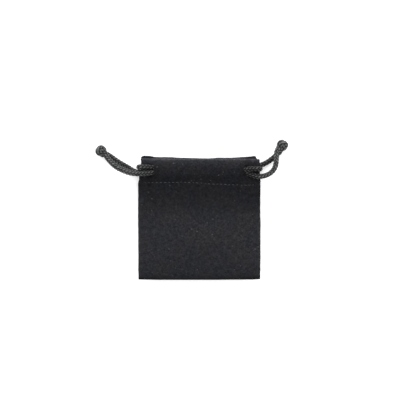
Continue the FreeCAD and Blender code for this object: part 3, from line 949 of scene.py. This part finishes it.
def stitch_row(side, face):
    """Places of the casing stitches of one half, slightly uneven."""
    row = []
    for k in range(STITCH_COUNT):
        abs_x = STITCH_PITCH * (k + 0.5)
        x = np.array([side * abs_x])
        y = seam_line(x) + 0.05 * math.sin(7.3 * k + side)
        part = "middle" if abs_x < SLIT_X[side] else "end"
        lift = 0.07 + 0.12 * noise1(x, face.stitch_row, scale=5.3, seed=31)
        z = cloth_z(x, y, side, face, part) + face.out * lift
        reach = 0.9         # the seam's slope is taken over this much to each side
        slope = (seam_line(x + reach) - seam_line(x - reach))[0] / (2 * reach)
        slope += 0.05 * math.sin(11.0 * k + 2 * side)
        row.append((side * abs_x, float(y[0]), float(z[0]), face.out, float(slope)))
    return row


def rope(points):
    """Seam thread along a path, pinched at each turn of its twist."""
    path = np.asarray(points, float)
    tangent = np.gradient(path, axis=0)
    tangent /= np.linalg.norm(tangent, axis=1)[:, None]
    across = np.cross(np.tile([0.0, 0.0, 1.0], (len(path), 1)), tangent)
    across /= np.linalg.norm(across, axis=1)[:, None]
    up = np.cross(tangent, across)
    steps = np.linalg.norm(np.diff(path, axis=0), axis=1)
    length = np.concatenate([[0], np.cumsum(steps)])
    verts, uv = [], []
    for i in range(len(path)):
        radius = SEAM_THREAD_R * (0.86 + 0.14 * abs(math.sin(math.pi * length[i] / 2.2)))
        for j in range(AROUND):
            angle = 2 * math.pi * j / AROUND
            verts.append(path[i] + radius * (math.cos(angle) * across[i]
                                             + math.sin(angle) * up[i]))
            uv.append((j / AROUND, length[i] * 1.3))
    return verts, tube_faces(0, len(path)), uv


# ------------------------------------------------------------------ cords
CORD_R = 1.70
CORD_AROUND = 72        # points round the cord
CORD_STEP = 0.25        # distance between rings
BRAID_PITCH = 2.0

# heights of the cords in the casing: the left cord uses FRONT_OUT and BACK_IN, the right cord
# FRONT_IN and BACK_OUT
FRONT_IN, FRONT_OUT = 10.125, 12.375
BACK_IN, BACK_OUT = 2 * Z_MID - FRONT_IN, 2 * Z_MID - FRONT_OUT


def between(t, t0, t1, p0, p1):
    return (t1 - t) / (t1 - t0) * p0 + (t - t0) / (t1 - t0) * p1


def smooth_path(stations):
    """Centripetal Catmull-Rom through a closed loop, resampled evenly. Also its length."""
    p = np.asarray(stations, float)
    n = len(p)
    path = []
    for i in range(n):
        p0, p1, p2, p3 = p[(i - 1) % n], p[i], p[(i + 1) % n], p[(i + 2) % n]
        t0 = 0.0
        t1 = t0 + np.linalg.norm(p1[:3] - p0[:3]) ** 0.5
        t2 = t1 + np.linalg.norm(p2[:3] - p1[:3]) ** 0.5
        t3 = t2 + np.linalg.norm(p3[:3] - p2[:3]) ** 0.5
        count = max(4, int(np.linalg.norm(p2[:3] - p1[:3]) / 0.1))
        for t in np.linspace(t1, t2, count, endpoint=False):
            a1 = between(t, t0, t1, p0, p1)
            a2 = between(t, t1, t2, p1, p2)
            a3 = between(t, t2, t3, p2, p3)
            b1 = between(t, t0, t2, a1, a2)
            b2 = between(t, t1, t3, a2, a3)
            path.append(between(t, t1, t2, b1, b2))
    path = np.array(path)
    # relax small kinks
    for _ in range(30):
        path = 0.5 * path + 0.25 * (np.roll(path, 1, 0) + np.roll(path, -1, 0))
    steps = np.linalg.norm(np.roll(path, -1, 0)[:, :3] - path[:, :3], axis=1)
    length = np.concatenate([[0], np.cumsum(steps)])
    total = length[-1]
    count = int(round(total / CORD_STEP))
    want = np.arange(count) * total / count
    closed = np.vstack([path, path[:1]])
    return np.stack([np.interp(want, length, column) for column in closed.T], 1), total


def braid(u, v):
    """Height of a two-over-two braid. u turns round the cord in strands, v runs in pitches."""
    diagonal_1, diagonal_2 = u + v, u - v
    yarn_1, yarn_2 = np.floor(diagonal_1), np.floor(diagonal_2)
    part_1, part_2 = diagonal_1 - yarn_1, diagonal_2 - yarn_2
    cell = np.mod(yarn_1 + yarn_2, 4)
    first = cell < 1.5
    across = np.where(first, part_1, part_2)
    along = np.where(first, (cell + part_2) / 2, (cell - 2 + part_1) / 2)
    ridge = np.sqrt(np.clip(1 - (2 * across - 1) ** 2, 0, 1))
    return ridge * (0.45 + 0.55 * np.sin(np.pi * np.clip(along, 0, 1)))


def carried_frame(tangent):
    """Normals carried along a closed loop without twist, and the turn left over at its end."""
    normal = np.zeros_like(tangent)
    start = np.cross(tangent[0], [0.3, 0.2, 1.0])
    normal[0] = start / np.linalg.norm(start)
    for i in range(1, len(tangent)):
        carried = normal[i - 1] - tangent[i] * (normal[i - 1] @ tangent[i])
        normal[i] = carried / np.linalg.norm(carried)
    last = normal[-1] - tangent[0] * (normal[-1] @ tangent[0])
    last /= np.linalg.norm(last)
    turn = math.atan2(np.cross(last, normal[0]) @ tangent[0], last @ normal[0])
    return normal, turn


# painted shade along a cord at distances from the middle: darkest where it leaves the slit
SHADE_X = [0, 22.0, 26.5, 27.6, 30, 36, 40, 46]
SHADE_LEFT = [0.85, 0.85, 0.6, 0.42, 0.60, 0.74, 0.92, 1.0]
SHADE_RIGHT = [0.85, 0.85, 0.5, 0.34, 0.48, 0.62, 0.88, 0.96]


def cord_shade(center):
    abs_x = np.abs(center[:, 0])
    shade = np.where(center[:, 0] < 0, np.interp(abs_x, SHADE_X, SHADE_LEFT),
                     np.interp(abs_x, SHADE_X, SHADE_RIGHT))
    # painted shade on the lower of the two tails
    outside = np.interp(abs_x, [38, 41], [0.0, 1.0])
    return shade * (1 - outside * np.interp(center[:, 2], [2.2, 5.5], [0.32, 0.0]))


def make_cord(name, stations, swell):
    """Braided closed loop.

    stations: (x, y, z, flatness), where 1 is round. swell: distances from the middle, and how
    much fuller the cord is there.
    """
    path, total = smooth_path(stations)
    n = len(path)
    center, flat = path[:, :3], path[:, 3]
    tangent = np.roll(center, -1, 0) - np.roll(center, 1, 0)
    tangent /= np.linalg.norm(tangent, axis=1)[:, None]
    normal, turn = carried_frame(tangent)
    binormal = np.cross(tangent, normal)

    # rings, with the leftover turn spread along the loop
    pitches = max(1, round(total / BRAID_PITCH / 4) * 4)
    angle = 2 * math.pi * np.arange(CORD_AROUND) / CORD_AROUND
    share = np.arange(n) / n
    height = braid((angle[None, :] / (2 * math.pi)) * STRANDS, (share * pitches)[:, None])
    fullness = np.interp(np.abs(center[:, 0]), *swell)[:, None]
    radius = CORD_R * (0.80 + 0.215 * height) * fullness
    turned = angle[None, :] + (share * turn)[:, None]
    offset = radius[..., None] * (np.cos(turned)[..., None] * normal[:, None, :]
                                  + np.sin(turned)[..., None] * binormal[:, None, :])

    # flatten square to the path and to y
    press = np.cross(tangent, [0.0, 1.0, 0.0])
    size = np.linalg.norm(press, axis=1)[:, None]
    press = np.where(size > 0.2, press / np.maximum(size, 1e-6), 0.0)
    depth = (offset * press[:, None, :]).sum(-1)
    offset = offset - ((1 - flat)[:, None] * depth)[..., None] * press[:, None, :]
    verts = (center[:, None, :] + offset).reshape(-1, 3)

    ids = np.arange(n * CORD_AROUND).reshape(n, CORD_AROUND)
    following = np.roll(ids, -1, 0)
    corners = (ids, np.roll(ids, -1, 1), np.roll(following, -1, 1), following)
    quads = np.stack(corners, -1).reshape(-1, 4)
    ring, point = np.meshgrid(np.arange(n), np.arange(CORD_AROUND), indexing="ij")
    corner_uv = np.stack([
        np.stack([(point + du) / CORD_AROUND, (ring + dv) / n * pitches / UV_MM], -1)
        for du, dv in ((0, 0), (1, 0), (1, 1), (0, 1))
    ], 2).reshape(-1, 2)
    return make_object(name, verts, quads.tolist(), CORD, corner_uv,
                       tone=np.repeat(cord_shade(center), CORD_AROUND))


def knot(center, tails, across, along):
    """Stations of an overhand knot: the cord crosses itself in three lobes.

    tails is the plan angle the tails come from; along and across stretch the knot on that axis
    and square to it.
    """
    mean_r, lobe, rise_z = 1.60, 0.90, 1.25
    gap = 0.42      # left open for the tails, in radians at each end
    stations = []
    for t in np.linspace(gap, 2 * math.pi - gap, 26):
        radius = mean_r + lobe * math.cos(3 * t)
        x, y = along * radius * math.cos(2 * t), across * radius * math.sin(2 * t)
        stations.append((
            center[0] + x * math.cos(tails) - y * math.sin(tails),
            center[1] + x * math.sin(tails) + y * math.cos(tails),
            center[2] + rise_z * math.sin(3 * t),
            1.0,
        ))
    return stations[::-1]


# (x, y, z, flatness) from the knot through the front of the casing and back through its rear
LEFT_CORD = knot((-61.75, 42.3, 4.0), math.radians(-46), across=0.80, along=1.16) + [
    (-58.6, 39.4, 5.6, 1.0), (-56.4, 36.45, 6.7, 1.0), (-53.5, 33.6, 8.1, 1.0),
    (-50.9, 31.85, 9.2, 1.0), (-48.2, 30.5, 10.1, 1.0), (-44.6, 29.1, 11.0, 1.0),
    (-41.0, 28.3, 11.4, 0.98), (-37.6, 28.1, 11.5, 0.92), (-33.8, 28.3, 11.7, 0.85),
    (-30.6, 28.55, 11.9, 0.80), (-27.8, 28.95, 12.1, 0.76), (-23.5, 29.1, FRONT_OUT, 0.73),
    (-12, 28.9, FRONT_OUT, 0.73), (0, 28.9, FRONT_OUT, 0.73), (6, 29.0, FRONT_OUT, 0.73),
    (14, 29.9, FRONT_OUT, 0.73), (22, 30.6, FRONT_OUT, 0.73), (27.6, 30.7, 12.1, 0.76),
    (31.5, 30.95, 11.8, 0.85), (34.6, 31.15, 11.3, 0.9), (37.0, 31.25, 10.3, 0.9),
    (38.25, 31.3, 8.7, 0.9), (38.4, 31.3, 7.0, 0.9), (37.8, 31.3, 5.3, 0.9),
    (36.2, 31.25, 4.2, 0.85), (33.5, 31.2, 3.95, 0.8), (28.0, 31.1, 4.0, 0.76),
    (22, 30.9, BACK_IN, 0.73), (14, 30.1, BACK_IN, 0.73), (6, 29.3, BACK_IN, 0.73),
    (-4, 29.2, BACK_IN, 0.73), (-16, 29.2, BACK_IN, 0.73), (-28.0, 29.2, BACK_IN, 0.76),
    (-34.0, 29.2, BACK_IN, 0.8), (-38.6, 29.2, 3.9, 0.9), (-42.0, 30.3, 3.4, 1.0),
    (-45.0, 32.1, 2.8, 1.0), (-48.6, 34.1, 2.1, 1.0), (-52.6, 36.6, 1.8, 1.0),
    (-56.0, 39.0, 1.85, 1.0), (-58.9, 40.6, 2.4, 1.0),
]
RIGHT_CORD = knot((52.1, 45.7, 4.0), math.radians(-122), across=0.78, along=1.20) + [
    (49.6, 43.6, 5.7, 1.0), (48.75, 41.2, 6.4, 1.0), (48.45, 38.4, 7.1, 1.0),
    (48.3, 35.4, 7.8, 1.0), (47.7, 32.6, 8.5, 1.0), (46.3, 30.2, 9.1, 1.0),
    (44.0, 28.2, 9.5, 1.0), (41.2, 27.0, 9.8, 1.0), (37.8, 26.4, 10.0, 0.95),
    (34.8, 26.85, 10.1, 0.88), (31.6, 28.1, 10.15, 0.82), (28.2, 29.5, 10.15, 0.76),
    (24.5, 29.8, 10.13, 0.73), (18.0, 28.7, FRONT_IN, 0.73), (10, 27.95, FRONT_IN, 0.73),
    (0, 27.85, FRONT_IN, 0.73), (-5, 27.95, FRONT_IN, 0.73), (-11, 28.9, FRONT_IN, 0.73),
    (-18, 31.3, FRONT_IN, 0.73), (-23.5, 31.6, FRONT_IN, 0.73), (-27.4, 31.75, 10.2, 0.76),
    (-30.3, 32.05, 10.4, 0.80), (-32.8, 32.25, 10.5, 0.85), (-35.4, 32.35, 10.2, 0.9),
    (-37.3, 32.4, 9.1, 0.9), (-38.1, 32.4, 7.4, 0.9), (-38.0, 32.4, 5.4, 0.9),
    (-37.5, 32.4, 3.6, 0.9), (-36.0, 32.4, 2.3, 0.85), (-33.2, 32.5, 1.9, 0.8),
    (-28.0, 32.5, BACK_OUT, 0.76), (-14, 32.6, BACK_OUT, 0.73), (0, 32.8, BACK_OUT, 0.73),
    (14, 33.0, BACK_OUT, 0.73), (28.0, 33.2, BACK_OUT, 0.76), (34.5, 33.2, 1.7, 0.85),
    (38.6, 33.7, 1.65, 0.95), (42.2, 35.1, 1.6, 1.0), (45.0, 36.9, 1.6, 1.0),
    (47.6, 39.0, 1.65, 1.0), (49.8, 41.3, 1.9, 1.0), (51.2, 42.9, 2.5, 1.0),
]

# ------------------------------------------------------------------ build the pouch


def build_cloth(side, face):
    verts, faces, uv_tone, sharp = cloth_half(side, face)
    ob = make_object(f"{face.name}_cloth_{SIDE[side]}", verts, faces, VELVET, uv_tone[:, :2],
                     sharp, uv_tone[:, 2])
    blend_with_mouth(ob)
    gone = [f"{SIDE[side]}_{face.name}_end", f"{face.name}_panel", f"{face.name}_hem",
            f"{face.name}_casing"]
    if face is FRONT:
        gone += [f"{SIDE[side]}_seam_allowance", f"{SIDE[side]}_end_allowance",
                 "bottom_seam_allowance"]
    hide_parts(*gone)


def build_stitches(side, face):
    ob = make_object(f"{face.name}_stitches_{SIDE[side]}",
                     *arrange(stitch_mesh(stitch_row(side, face))))
    blend_with_mouth(ob)
    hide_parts(f"{face.name}_casing_stitches", f"{SIDE[side]}_end_stitches")


def arrange(thread):
    """Arguments of make_object for a piece of thread."""
    verts, faces, uv = thread
    return verts, faces, THREAD, uv


def build_side_thread(side):
    """Thread deep in the crease where the two cloths meet at one side."""
    y = np.linspace(Y_BOTTOM + 0.6, 37.0, 150)
    x = side * (side_edge(y, side, FRONT) - 0.75)
    thread = rope(settle(np.stack([x, y, z_seam(y)], 1)))
    ob = make_object(f"side_seam_thread_{SIDE[side]}", *arrange(thread))
    blend_with_mouth(ob)
    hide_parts(f"{SIDE[side]}_seam_thread", f"{SIDE[side]}_end_thread")


def build_bottom_thread():
    x = np.linspace(-37.0, 37.0, 120)
    y, z = np.full_like(x, Y_BOTTOM + 0.75), np.full_like(x, Z_SEAM_LOW)
    ob = make_object("bottom_seam_thread_line", *arrange(rope(settle(np.stack([x, y, z], 1)))))
    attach(ob, "pouch")
    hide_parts("bottom_seam_thread")


def build_cord(side, stations, swell):
    """Cord of one side."""
    name = SIDE[side]
    ob = make_cord(f"{name}_drawcord_braid", stations, swell)
    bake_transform(ob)
    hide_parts(f"{name}_cord", f"{name}_cord_tails", f"{name}_knot")


for build in (build_cloth, build_stitches):
    for side in (-1, 1):
        for face in (FRONT, BACK):
            build(side, face)
for side in (-1, 1):
    build_side_thread(side)
build_bottom_thread()
build_cord(-1, LEFT_CORD, swell=([41, 46, 58, 60], [1.0, 1.06, 1.06, 1.03]))
build_cord(1, RIGHT_CORD, swell=([48.6, 50.5], [1.0, 1.10]))

# ------------------------------------------------------------------ floor, light, camera (metres)


def build_floor():
    bpy.ops.mesh.primitive_plane_add(size=3.0, location=(0, 0, 0))
    floor = bpy.context.object
    floor.name = "floor"
    material, net, shader = new_material("floor_pale")
    net.feed(shader, {
        "Base Color": (0.93, 0.93, 0.93, 1),
        "Roughness": 0.85,
        "Specular IOR Level": 0.1,
        "Emission Color": (1, 1, 1, 1),
        "Emission Strength": 0.28,
    })
    floor.data.materials.append(material)


def build_world():
    world = bpy.data.worlds.new("studio")
    bpy.context.scene.world = world
    world.use_nodes = True
    background = world.node_tree.nodes["Background"]
    background.inputs["Color"].default_value = (1, 1, 1, 1)
    background.inputs["Strength"].default_value = 1.05


def area_light(name, location, size, power):
    """Square lamp aimed at the origin."""
    data = bpy.data.lights.new(name, "AREA")
    data.shape = "SQUARE"
    data.size = size
    data.energy = power
    ob = bpy.data.objects.new(name, data)
    bpy.context.scene.collection.objects.link(ob)
    ob.location = location
    ob.rotation_euler = (-Vector(location)).to_track_quat("-Z", "Y").to_euler()


def build_camera():
    """Camera looking straight down."""
    view_width = 0.2512     # seen across the picture at the height below
    view_height = 0.008
    data = bpy.data.cameras.new("camera")
    data.lens = 100
    data.sensor_width = 36
    data.clip_start = 0.01
    ob = bpy.data.objects.new("camera", data)
    bpy.context.scene.collection.objects.link(ob)
    distance = view_width * data.lens / data.sensor_width
    ob.location = (0.00047, 0.0117, distance + view_height)
    bpy.context.scene.camera = ob


build_floor()
build_world()
area_light("key", location=(-0.22, 0.80, 0.62), size=1.1, power=9.0)
area_light("fill", location=(0.7, -0.25, 0.9), size=1.2, power=3.0)
build_camera()

view = bpy.context.scene.view_settings
view.view_transform = "Standard"
view.look = "None"
view.exposure = 0.0
